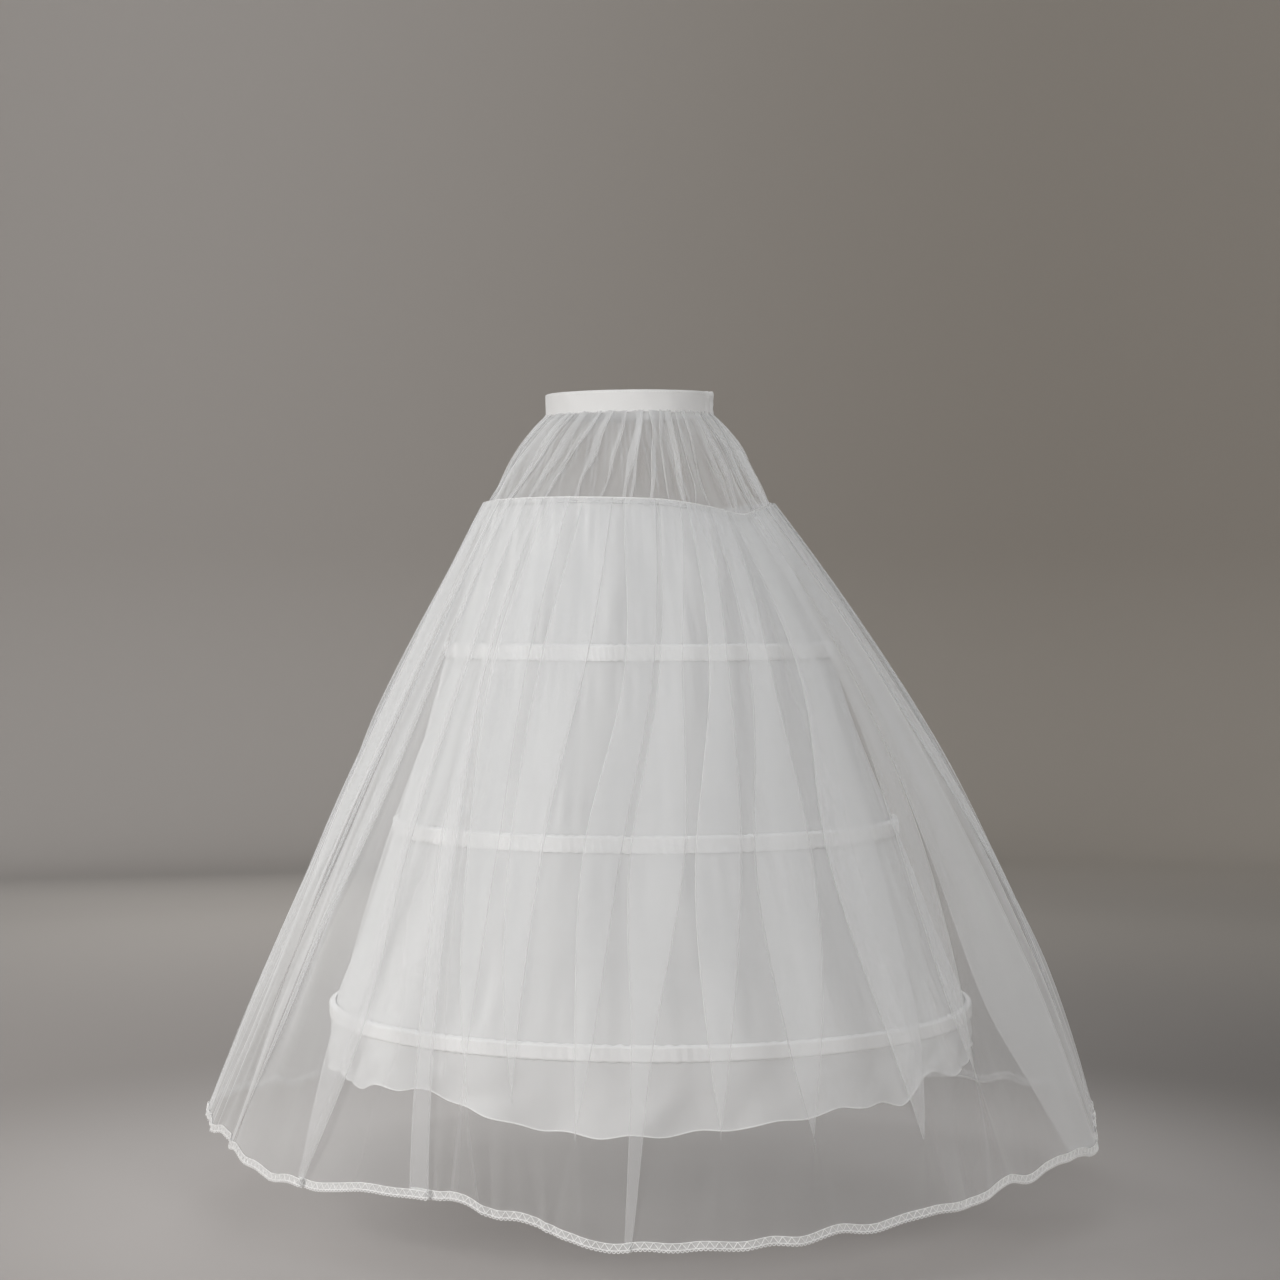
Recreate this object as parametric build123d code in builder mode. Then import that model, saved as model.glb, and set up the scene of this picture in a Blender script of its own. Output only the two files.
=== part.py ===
"""A floor-length hoop petticoat: waistband, sheer yoke, lining with three hoops, and a net overlay.

Millimetres. The origin is the centre of the waist opening, half-way up the waistband. +Z is up,
the front of the garment faces -Y and its left side is +X. It is built as it hangs when worn.

The hoops hang a little behind the waist, so each level of the skirt has its own centre and the
side seams lean back. Layers that are sewn together lie one on another. At the yoke seam these
are, from the inside, the tape, yoke, lining and overlay; at the lowest hoop the lining, flounce
and casing.
"""

import os
from math import cos, degrees, radians, sin

from build123d import *

# Cloth
cloth = 1.0  # thickness of a layer of net or taffeta
layer_gap = 0.3  # between layers that are sewn together
seam_gap = 0.2  # between two panels that meet edge to edge

# Waistband: a strip folded over at the top, with elastic in its back half
waist_half_width = 112.0
waist_half_depth = 83.0
waistband_height = 28.0
waistband_leaf = 0.9
waistband_channel = 1.8  # between its outer and inner leaf
yoke_tuck = 6.0  # how far the yoke's gathered edge reaches up into the waistband
elastic_clearance = 1.0  # between the yoke's edge and the elastic above it
elastic_headroom = 2.1  # between the elastic and the fold above it

# Yoke seam, where the yoke carries the lining and the overlay
yoke_drop = 122.0  # from the waistline down to the seam
yoke_seam_half_width = 184.0
yoke_seam_half_depth = 168.0
seam_allowance = 8.0

# Hoops: drop below the waistline, radius of the lining there, and distance behind the waist
hoop_names = ("top", "middle", "bottom")
hoop_drops = (301.0, 519.0, 746.0)
hoop_radii = (236.0, 310.0, 394.0)
hoop_setbacks = (22.0, 38.0, 48.0)
hoop_strip_height = 8.0
hoop_strip_thickness = 1.5
hoop_edge_radius = 0.5
hoop_end_gap = 3.0  # between a hoop's two ends, inside its joiner
joiner_length = 60.0
joiner_wall = 0.7
joiner_fit = 0.1
channel_clearance = 0.15  # between a joiner and the cloth on each side of it
channel_headroom = 2.0  # above and below a joiner
stitched_margin = 3.0  # of a casing, above and below its channel
casing_opening = 16.0  # where a hoop goes in, at the centre back

# Flounce below the lowest hoop
flounce_drop = 837.0
flounce_radius = 402.0
flounce_setback = 50.0

# Overlay of net, and the lace on its hem
overlay_drop = 929.0
overlay_radius = 545.0
overlay_setback = 55.0
overlay_swell = 0.63  # how much more it flares at the seam than at the hem
overlay_levels = 10
overlay_seam_turn = 17.0  # degrees that its side seams lie forward of the sides
lace_height = 12.0
lace_thickness = 0.8
lace_overhang = 3.0  # below the edge of the net

# Sizes that follow
layer_step = cloth + layer_gap
joiner_height = hoop_strip_height + 2 * (joiner_fit + joiner_wall)
joiner_thickness = hoop_strip_thickness + 2 * (joiner_fit + joiner_wall)
channel_depth = joiner_thickness + 2 * channel_clearance
channel_height = joiner_height + 2 * channel_headroom
casing_height = channel_height + 2 * stitched_margin
waistband_thickness = 2 * waistband_leaf + waistband_channel
in_channel = waistband_leaf + (waistband_channel - cloth) / 2  # outer face of cloth held there
waistband_bottom = -waistband_height / 2
elastic_bottom = waistband_bottom + yoke_tuck + elastic_clearance
elastic_top = waistband_height / 2 - waistband_leaf - elastic_headroom
seam_top = -yoke_drop + seam_allowance / 2
seam_bottom = -yoke_drop - seam_allowance / 2
seam_lean = hoop_setbacks[-1] / hoop_drops[-1]
beyond = 2 * overlay_radius  # past everything


def ring(levels, thickness=cloth):
    """A ring of cloth; each level is z, half width, half depth and setback of its outer face."""
    with BuildPart() as shape:
        for inset, mode in ((0, Mode.ADD), (thickness, Mode.SUBTRACT)):
            for z, half_width, half_depth, setback in levels:
                with BuildSketch(Plane.XY.offset(z)):
                    with Locations((0, setback)):
                        Ellipse(half_width - inset, half_depth - inset)
            loft(ruled=True, mode=mode)
    return shape.part


def waistband():
    """An outer leaf, a fold along the top and an inner leaf."""
    with BuildPart() as shape:
        with BuildSketch(Plane.XY.offset(waistband_bottom)):
            Ellipse(waist_half_width, waist_half_depth)
            Ellipse(
                waist_half_width - waistband_thickness,
                waist_half_depth - waistband_thickness,
                mode=Mode.SUBTRACT,
            )
        extrude(amount=waistband_height)
        inner_leaf = waistband_leaf + waistband_channel
        with BuildSketch(Plane.XY.offset(waistband_bottom)):
            Ellipse(waist_half_width - waistband_leaf, waist_half_depth - waistband_leaf)
            Ellipse(
                waist_half_width - inner_leaf, waist_half_depth - inner_leaf, mode=Mode.SUBTRACT
            )
        extrude(amount=waistband_height - waistband_leaf, mode=Mode.SUBTRACT)
    return shape.part


def yoke():
    """From inside the waistband to the yoke seam."""
    band_width = waist_half_width - in_channel
    band_depth = waist_half_depth - in_channel
    seam_width = yoke_seam_half_width - layer_step
    seam_depth = yoke_seam_half_depth - layer_step
    return ring(
        [
            (waistband_bottom + yoke_tuck, band_width, band_depth, 0),
            (waistband_bottom - cloth, band_width, band_depth, 0),
            (seam_top, seam_width, seam_depth, 0),
            (seam_bottom, seam_width, seam_depth, 0),
        ]
    )


def lining():
    """Upright behind each casing, and flaring between them."""
    levels = [
        (seam_top, yoke_seam_half_width, yoke_seam_half_depth, 0),
        (seam_bottom, yoke_seam_half_width, yoke_seam_half_depth, 0),
    ]
    for drop, radius, setback in zip(hoop_drops, hoop_radii, hoop_setbacks):
        levels.append((-drop + casing_height / 2, radius, radius, setback))
        levels.append((-drop - casing_height / 2, radius, radius, setback))
    return ring(levels)


def flounce():
    """Sewn between the lining and the lowest casing."""
    drop = hoop_drops[-1]
    radius = hoop_radii[-1] + layer_step
    setback = hoop_setbacks[-1]
    return ring(
        [
            (-drop + casing_height / 2, radius, radius, setback),
            (-drop - casing_height / 2, radius, radius, setback),
            (-flounce_drop, flounce_radius, flounce_radius, flounce_setback),
        ]
    )


def overlay_level(share, out=0.0):
    """The overlay's outer face, moved out, at a share of the way down from the yoke seam."""
    top_width = yoke_seam_half_width + layer_step
    top_depth = yoke_seam_half_depth + layer_step
    flare = share + overlay_swell * share * (1 - share)
    return (
        seam_bottom - (overlay_drop + seam_bottom) * share,
        top_width + (overlay_radius - top_width) * flare + out,
        top_depth + (overlay_radius - top_depth) * flare + out,
        overlay_setback * share,
    )


def overlay():
    """Sewn over the lining at the yoke seam, and hanging free below it."""
    levels = [overlay_level(number / overlay_levels) for number in range(overlay_levels + 1)]
    return ring([(seam_top, *levels[0][1:]), *levels])


def lace():
    """Laid over the edge of the overlay's hem."""
    length = overlay_drop + seam_bottom
    shares = (1 - (lace_height - lace_overhang) / length, 1 + lace_overhang / length)
    out = layer_gap + lace_thickness
    return ring([overlay_level(share, out) for share in shares], lace_thickness)


def front_space(turn, forward):
    """All that lies in front of side seams that are turned forward by an angle."""
    side_x = beyond * cos(radians(turn))
    side_y = -beyond * sin(radians(turn)) - forward
    top = waistband_height
    with BuildPart() as space:
        with BuildSketch(Plane.XY.offset(top)):
            with Locations((0, -seam_lean * top)):
                Polygon(
                    (0, -forward),
                    (side_x, side_y),
                    (beyond, -beyond),
                    (-beyond, -beyond),
                    (-side_x, side_y),
                    align=None,
                )
        extrude(amount=beyond, dir=(0, seam_lean, -1))
    return space.part


def angle_of(length, radius):
    """The angle in degrees that a length along a circle takes up."""
    return degrees(length / radius)


def radial_plane(drop, setback, angle):
    """The plane through a hoop's axis that faces round it, X outwards at an angle and Y up."""
    out_x, out_y = cos(radians(angle)), sin(radians(angle))
    return Plane(origin=(0, setback, -drop), x_dir=(out_x, out_y, 0), z_dir=(out_y, -out_x, 0))


def hoop_axis(setback):
    return Axis((0, setback, 0), (0, 0, 1))


def casing(drop, radius, setback):
    """A flat tube of cloth round the skirt, open at the centre back."""
    opening = angle_of(casing_opening, radius)
    with BuildPart() as shape:
        with BuildSketch(radial_plane(drop, setback, 90 + opening / 2)):
            with Locations((radius + cloth + channel_depth / 2, 0)):
                Rectangle(channel_depth + 2 * cloth, casing_height)
                Rectangle(channel_depth, channel_height, mode=Mode.SUBTRACT)
        revolve(axis=hoop_axis(setback), revolution_arc=360 - opening)
    return shape.part


def hoop(drop, radius, setback):
    """A flat strip bent into a ring, with a gap between its ends at the centre back."""
    opening = angle_of(hoop_end_gap, radius)
    with BuildPart() as shape:
        with BuildSketch(radial_plane(drop, setback, 90 + opening / 2)):
            with Locations((radius, 0)):
                RectangleRounded(hoop_strip_thickness, hoop_strip_height, hoop_edge_radius)
        revolve(axis=hoop_axis(setback), revolution_arc=360 - opening)
    return shape.part


def joiner(drop, radius, setback):
    """A sleeve that holds the two ends of a hoop together."""
    angle = angle_of(joiner_length, radius)
    with BuildPart() as shape:
        with BuildSketch(radial_plane(drop, setback, 90 - angle / 2)):
            with Locations((radius, 0)):
                Rectangle(joiner_thickness, joiner_height)
                Rectangle(
                    hoop_strip_thickness + 2 * joiner_fit,
                    hoop_strip_height + 2 * joiner_fit,
                    mode=Mode.SUBTRACT,
                )
        revolve(axis=hoop_axis(setback), revolution_arc=angle)
    return shape.part


def save(part, name):
    part.label = name
    export_step(part, f"parts/{name}.step")


os.makedirs("parts", exist_ok=True)

# The cloth is cut in front and back panels that meet at the side seams
for node, whole, turn in (
    ("waistband", waistband(), 0.0),
    ("yoke", yoke(), 0.0),
    ("lining", lining(), 0.0),
    ("flounce", flounce(), 0.0),
    ("overlay", overlay(), overlay_seam_turn),
    ("lace", lace(), overlay_seam_turn),
):
    with BuildPart() as front:
        add(whole)
        add(front_space(turn, seam_gap / 2), mode=Mode.INTERSECT)
    save(front.part, f"{node}_front")
    with BuildPart() as back:
        add(whole)
        add(front_space(turn, -seam_gap / 2), mode=Mode.SUBTRACT)
    save(back.part, f"{node}_back")

# The elastic lies in the back half of the waistband, above the yoke's edge
with BuildPart() as waist_elastic:
    with BuildSketch(Plane.XY.offset(elastic_bottom)):
        Ellipse(waist_half_width - in_channel, waist_half_depth - in_channel)
        Ellipse(
            waist_half_width - in_channel - cloth,
            waist_half_depth - in_channel - cloth,
            mode=Mode.SUBTRACT,
        )
    extrude(amount=elastic_top - elastic_bottom)
    add(front_space(0.0, -seam_gap / 2), mode=Mode.SUBTRACT)
save(waist_elastic.part, "waist_elastic")

# The tape covers the yoke seam on the inside
tape_width = yoke_seam_half_width - 2 * layer_step
tape_depth = yoke_seam_half_depth - 2 * layer_step
tape = ring([(seam_top, tape_width, tape_depth, 0), (seam_bottom, tape_width, tape_depth, 0)])
save(tape, "yoke_seam_tape")

for name, drop, lining_radius, setback in zip(hoop_names, hoop_drops, hoop_radii, hoop_setbacks):
    # The lowest casing lies over the flounce, the others straight on the lining
    under_casing = layer_step if name == hoop_names[-1] else 0.0
    casing_radius = lining_radius + under_casing + layer_gap
    strip_radius = casing_radius + cloth + channel_depth / 2
    save(casing(drop, casing_radius, setback), f"casing_{name}")
    save(hoop(drop, strip_radius, setback), f"hoop_{name}")
    save(joiner(drop, strip_radius, setback), f"hoop_joiner_{name}")
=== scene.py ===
"""A white hoop petticoat with a folded net overlay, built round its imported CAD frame.

Metres throughout. A turn is an angle in degrees round the waist: 0 is the centre front (-Y) and 90
the wearer's left side (+X). A share runs from 0 at a panel's top edge to 1 at its bottom edge.

Each ring of cloth is a grid of points, rows down the garment and columns round it, and its front
and back panels are cut from that grid at the side seams.
"""

import math

import bpy
import numpy as np
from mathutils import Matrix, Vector


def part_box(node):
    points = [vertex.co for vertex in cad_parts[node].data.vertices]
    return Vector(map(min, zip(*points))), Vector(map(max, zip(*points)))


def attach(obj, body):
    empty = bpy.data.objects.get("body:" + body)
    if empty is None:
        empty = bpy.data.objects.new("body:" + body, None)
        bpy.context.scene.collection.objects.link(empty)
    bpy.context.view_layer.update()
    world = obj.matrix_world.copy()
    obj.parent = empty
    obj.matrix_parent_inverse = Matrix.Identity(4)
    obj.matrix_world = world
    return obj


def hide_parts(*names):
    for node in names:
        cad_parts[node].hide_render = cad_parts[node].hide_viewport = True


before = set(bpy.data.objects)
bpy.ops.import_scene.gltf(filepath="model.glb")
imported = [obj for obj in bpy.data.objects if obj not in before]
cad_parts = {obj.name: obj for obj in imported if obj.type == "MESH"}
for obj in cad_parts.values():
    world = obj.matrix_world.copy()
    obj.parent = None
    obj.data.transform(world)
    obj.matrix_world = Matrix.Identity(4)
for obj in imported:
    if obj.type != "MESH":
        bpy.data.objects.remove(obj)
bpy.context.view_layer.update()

# Camera and room
CAMERA_TURN = 35.0
CAMERA_DISTANCE = 3.455
CAMERA_HEIGHT = -0.233
CAMERA_AIM = (0.0117, 0.0082, -0.290)
LENS_MM = 78.4
FLOOR_BELOW_HEM = 0.05
WALL_RADIUS = 5.4
WALL_HEIGHT = 4.6
COVE_RADIUS = 0.9
COVE_STEPS, WALL_STEPS = 24, 96
# Paint of the wall and floor on the camera's left and right, with painted shade darker to the right
WALL_LEFT, WALL_RIGHT = (0.505, 0.475, 0.450), (0.350, 0.318, 0.282)
FLOOR_FAR_LEFT, FLOOR_FAR_RIGHT = (0.250, 0.232, 0.215), (0.245, 0.225, 0.203)
FLOOR_NEAR_LEFT, FLOOR_NEAR_RIGHT = (0.262, 0.238, 0.222), (0.155, 0.143, 0.133)
# painted light: a paler floor under the petticoat, where its shadow falls
FLOOR_UNDER_PAINTED_LIGHT = (0.465, 0.438, 0.424)

# Lamps: name, turn from the camera's, distance, height, size, power, colour
LAMPS = [
    ("key", -62, 3.4, 0.25, 1.2, 60, (1.0, 0.99, 0.97)),
    ("fill", 20, 4.0, 0.25, 1.3, 54, (1.0, 1.0, 1.0)),
    ("back", 195, 3.6, 0.7, 1.6, 36, (1.0, 1.0, 1.0)),
]
LAMP_AIM = (0.0, 0.03, -0.5)
SKY_COLOUR, SKY_STRENGTH = (0.96, 0.98, 1.0, 1.0), 0.8

# How far the cloth of two layers keeps apart
LAYER = 0.0012


# Sizes read from the frame


def box_of(*nodes):
    """The box round some nodes, as its lowest and highest corner."""
    boxes = [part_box(node) for node in nodes]
    low = [min(box[0][axis] for box in boxes) for axis in range(3)]
    high = [max(box[1][axis] for box in boxes) for axis in range(3)]
    return low, high


class Level:
    """One level of a ring: an ellipse with its own centre behind the waist's."""

    def __init__(self, z, width, depth, setback):
        self.z, self.width, self.depth, self.setback = z, width, depth, setback

    def moved(self, z, out=0.0):
        return Level(z, self.width + out, self.depth + out, self.setback)


def level_of(*nodes, z=None):
    """The largest level of a ring node or of its two panels, at its middle height or at z."""
    low, high = box_of(*nodes)
    return Level(
        (low[2] + high[2]) / 2 if z is None else z,
        (high[0] - low[0]) / 2,
        (high[1] - low[1]) / 2,
        (high[1] + low[1]) / 2,
    )


def height_of(node):
    low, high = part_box(node)
    return high[2] - low[2]


HALVES = ("front", "back")
SIDES = (-90, 90)  # the turns of the side seams
HOOPS = ("top", "middle", "bottom")
band_low, band_high = box_of("waistband_front", "waistband_back")
BAND_BOTTOM, BAND_TOP = band_low[2], band_high[2]
band = Level(BAND_BOTTOM, band_high[0], (band_high[1] - band_low[1]) / 2, 0.0)
seam = level_of("yoke_seam_tape")
hoops = {name: level_of(f"hoop_{name}") for name in HOOPS}
casing_height = height_of("casing_top")
flounce_hem = level_of("flounce_front", "flounce_back", z=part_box("flounce_front")[0][2])
overlay_hem = level_of("overlay_front", "overlay_back", z=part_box("overlay_front")[0][2])
lace_height = height_of("lace_front")


# Curves and noise


def smoothstep(x):
    x = np.clip(x, 0.0, 1.0)
    return x * x * (3 - 2 * x)


def through(at, places, values):
    """A smooth curve through values at places, read at the points in at."""
    places, values = np.asarray(places, float), np.asarray(values, float)
    slopes = np.gradient(values, places)
    at = np.clip(at, places[0], places[-1])
    i = np.clip(np.searchsorted(places, at, "right") - 1, 0, len(places) - 2)
    gap = places[i + 1] - places[i]
    t = (at - places[i]) / gap
    return (
        values[i] * (1 + 2 * t) * (1 - t) ** 2
        + values[i + 1] * t * t * (3 - 2 * t)
        + gap * (slopes[i] * t * (1 - t) ** 2 - slopes[i + 1] * t * t * (1 - t))
    )


def round_the_waist(turn, knots):
    """A smooth closed curve through (turn, value) knots, read at each turn."""
    knots = sorted(knots)
    turns = [t for t, _ in knots]
    values = [v for _, v in knots]
    turns = [turns[-1] - 360] + turns + [turns[0] + 360]
    values = [values[-1]] + values + [values[0]]
    turn = (np.asarray(turn, float) - turns[0]) % 360 + turns[0]
    return through(turn, turns, values)


class Waves:
    """Smooth seeded noise over turn and share, about 1 high, that closes round the waist."""

    def __init__(self, seed, per_turn, per_share, count=9):
        random = np.random.default_rng(seed)
        self.round = random.integers(per_turn[0], per_turn[1] + 1, count)
        self.down = random.uniform(-per_share, per_share, count)
        self.phase = random.uniform(0, 2 * math.pi, count)
        self.scale = math.sqrt(2 / count)

    def __call__(self, turn, share):
        turn = np.radians(turn)
        total = 0.0
        for around, down, phase in zip(self.round, self.down, self.phase):
            total = total + np.sin(around * turn + 2 * math.pi * down * share + phase)
        return total * self.scale


def place(turn, width, depth, setback, z):
    """Points on ellipses round the waist."""
    angle = np.radians(turn)
    return np.stack(
        np.broadcast_arrays(width * np.sin(angle), setback - depth * np.cos(angle), z), axis=-1
    )


# Meshes


def build_mesh(name, points, faces, material, uvs=None):
    """A smooth mesh object from points and faces; uvs holds one pair for each point."""
    mesh = bpy.data.meshes.new(name)
    points = np.asarray(points, float).reshape(-1, 3)
    faces = np.asarray(faces, np.int64)
    mesh.from_pydata(points.tolist(), [], faces.tolist())
    if uvs is not None:
        layer = mesh.uv_layers.new(name="UVMap")
        index = np.empty(len(mesh.loops), np.int32)
        mesh.loops.foreach_get("vertex_index", index)
        flat = np.asarray(uvs, float).reshape(-1, 2)[index]
        layer.data.foreach_set("uv", flat.ravel().astype(np.float32))
    mesh.polygons.foreach_set("use_smooth", [True] * len(mesh.polygons))
    mesh.update()
    mesh.materials.append(material)
    thing = bpy.data.objects.new(name, mesh)
    bpy.context.scene.collection.objects.link(thing)
    return thing


def steps_between(points, axis):
    return np.linalg.norm(np.diff(points, axis=axis), axis=-1)


def cloth_uvs(points):
    """Distances round and down the cloth in metres, one pair for each point of a grid."""
    across = np.zeros(points.shape[:2])
    across[:, 1:] = np.cumsum(steps_between(points, 1), axis=1)
    down = np.zeros(points.shape[:2])
    down[1:] = np.cumsum(steps_between(points, 0), axis=0)
    middle = across[len(across) // 2]
    return np.stack(np.broadcast_arrays(middle, down.mean(1, keepdims=True)), -1)


def grid_faces(rows, columns):
    """A face between each point of a grid and its neighbours below and to the right."""
    row, column = np.meshgrid(np.arange(rows - 1), np.arange(columns - 1), indexing="ij")
    corner = row * columns + column
    below = corner + columns
    return np.stack([corner, below, below + 1, corner + 1], -1).reshape(-1, 4)


def sheet_object(name, points, material):
    """A panel of cloth from a grid of points."""
    rows, columns = points.shape[:2]
    return build_mesh(name, points, grid_faces(rows, columns), material, cloth_uvs(points))


def closed_ring(points):
    """A ring's grid with its first column again at its end."""
    return np.concatenate([points, points[:, :1]], axis=1)


def panels(points, turns, seams):
    """Cut a ring in a front and a back panel, at the columns whose turns are nearest the seams."""
    first, second = (int(np.argmin(np.abs((turns - s + 180) % 360 - 180))) for s in seams)
    count = len(turns)
    front = np.arange(first, first + (second - first) % count + 1) % count
    back = np.arange(second, second + (first - second) % count + 1) % count
    return points[:, front], points[:, back]


def unit(vectors):
    return vectors / np.linalg.norm(vectors, axis=-1, keepdims=True)


def reach_along(path):
    """How far along a path each of its points is."""
    return np.concatenate([[0], np.cumsum(steps_between(path, 0))])


def read_path(path, reach, at):
    """The points that lie at some distances along a path."""
    return np.stack([np.interp(at, reach, path[:, axis]) for axis in range(3)], -1)


def tube(path, radius, sides):
    """Points and faces of a thread that follows a path."""
    ahead = np.roll(path, -1, 0) - np.roll(path, 1, 0)
    ahead[0], ahead[-1] = path[1] - path[0], path[-1] - path[-2]
    ahead = unit(ahead)
    guide = np.where(np.abs(ahead[:, 2:]) < 0.9, [[0.0, 0.0, 1.0]], [[1.0, 0.0, 0.0]])
    side = unit(np.cross(ahead, guide))
    up = np.cross(side, ahead)
    spin = np.linspace(0, 2 * math.pi, sides, endpoint=False)
    ring = np.cos(spin)[None, :, None] * side[:, None] + np.sin(spin)[None, :, None] * up[:, None]
    points = path[:, None] + radius * ring
    step, turn = np.meshgrid(np.arange(len(path) - 1), np.arange(sides), indexing="ij")
    near, far = step * sides, (step + 1) * sides
    turned = (turn + 1) % sides
    faces = np.stack([near + turn, near + turned, far + turned, far + turn], -1)
    return points.reshape(-1, 3), faces.reshape(-1, 4)


def stitch_row(path, length=0.0026, gap=0.0012, radius=0.00028):
    """A row of straight stitches along a level path, each one a thread sunk at both ends."""
    reach = reach_along(path)
    starts = np.arange(0, reach[-1] - length, length + gap)
    at = starts[:, None] + np.array([0.0, 0.5, 1.0]) * length
    centre = read_path(path, reach, at)
    ahead = unit(centre[:, -1:] - centre[:, :1])
    up = np.array([0.0, 0.0, 1.0])
    out = np.cross(ahead, up)
    centre = centre + out * np.array([-0.5, 0.6, -0.5])[None, :, None] * radius
    spin = np.radians([90.0, 210.0, 330.0])
    ring = np.cos(spin)[:, None] * up + np.sin(spin)[:, None] * out[:, :, None]
    points = centre[:, :, None] + radius * ring
    first = np.arange(len(starts))[:, None, None] * 9 + np.arange(2)[None, :, None] * 3
    side, after = np.arange(3), (np.arange(3) + 1) % 3
    faces = np.stack([first + side, first + after, first + 3 + after, first + 3 + side], -1)
    return points.reshape(-1, 3), faces.reshape(-1, 4)


def joined(pieces):
    """One list of points and one of faces from several."""
    points, faces, start = [], [], 0
    for some_points, some_faces in pieces:
        points.append(some_points)
        faces.append(some_faces + start)
        start += len(some_points)
    return np.concatenate(points), np.concatenate(faces)


def evenly(path, spacing):
    """A path again, with points an even distance apart, and how far along each one is."""
    reach = reach_along(path)
    at = np.linspace(0, reach[-1], int(round(reach[-1] / spacing)) + 1)
    return read_path(path, reach, at), at


# Folded cloth

WAVY_OVERLAP, CRISP_SPAN = -1.5, 2.0  # degrees: where a fold starts to crease, and is crisp
LEAST_STAND, SOFT_STAND = 0.12, 0.6  # how deep a closed fold and an opened one still are
# Places down a panel, as shares, at which a fold's two edges are given
STATIONS = (0.0, 0.2, 0.5, 0.75, 1.0)
LEG_COLUMNS = 9
# How far out the cloth lies along a fold's three legs, as parts of the fold's depth
LAY_PLACES = (0.0, 0.5, 0.85, 1.0, 1.2, 1.8, 2.0, 2.15, 2.5, 3.0)
LAY_OUT = (0.0, 0.85, 1.0, 0.62, 0.16, -0.16, -0.62, -1.0, -0.85, 0.0)


def folded(folds, shares, leg_columns=LEG_COLUMNS, closing=3.0):
    """Turns and outward shares of a ring of cloth with knife folds, one row for each share.

    A fold is (left edges, right edges, way, depth): its edges' turns at the stations, 1 or -1 for
    which layer is outside, and how deep it is beside the others. Where the left edge is right of
    the right one the fold has opened, and the cloth only waves there. It lies flatter where the
    two edges are within closing degrees of each other.
    """
    left = np.stack([through(shares, STATIONS, fold[0]) for fold in folds])
    right = np.stack([through(shares, STATIONS, fold[1]) for fold in folds])
    low, high = np.minimum(left, right), np.maximum(left, right)
    after = np.concatenate([low[1:], low[:1] + 360])
    gap_end = (high + after) / 2
    gap_start = np.concatenate([gap_end[-1:] - 360, gap_end[:-1]])
    step = np.linspace(0, 1, leg_columns, endpoint=False)[:, None]
    turns, outs = [], []
    for i, (_, _, way, depth) in enumerate(folds):
        overlap = right[i] - left[i]
        crisp = smoothstep((overlap - WAVY_OVERLAP) / CRISP_SPAN)
        stand = LEAST_STAND + (1 - LEAST_STAND) * smoothstep(abs(overlap) / closing)
        stand = stand * (SOFT_STAND + (1 - SOFT_STAND) * crisp)
        legs = (
            (gap_start[i], right[i], np.sin(step * math.pi / 2)),
            (right[i], left[i], (1 - np.cos(step * math.pi)) / 2),
            (left[i], gap_end[i], 1 - np.cos(step * math.pi / 2)),
        )
        for number, (start, end, eased) in enumerate(legs):
            at = step + (eased - step) * crisp
            turns.append(start + (end - start) * at)
            out = way * depth * through(step + number, LAY_PLACES, LAY_OUT)
            outs.append(out * stand)
    return np.concatenate(turns).T, np.concatenate(outs).T


def random_folds(random, start, end, spacing, overlaps, depth=(0.7, 1.3)):
    """Folds between two turns; overlaps are their widths at the stations, negative where open."""
    folds, at = [], start
    while at < end - 0.5 * spacing:
        width = spacing * random.uniform(0.65, 1.35)
        centre = at + width / 2
        drift = random.normal(0, 0.12, len(STATIONS)).cumsum() * spacing
        share = random.uniform(0.5, 1.4, len(STATIONS))
        overlap = np.where(np.asarray(overlaps) > 0, overlaps * share, overlaps) * width / spacing
        left, right = centre + drift - overlap / 2, centre + drift + overlap / 2
        folds.append((left, right, random.choice((-1, 1)), random.uniform(*depth)))
        at += width
    return folds


# Net overlay: folds seen from the front left are listed one by one

OVERLAY_SWELL = 0.63  # how much more it flares at the seam than at the hem
OVERLAY_ROWS = 96
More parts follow.
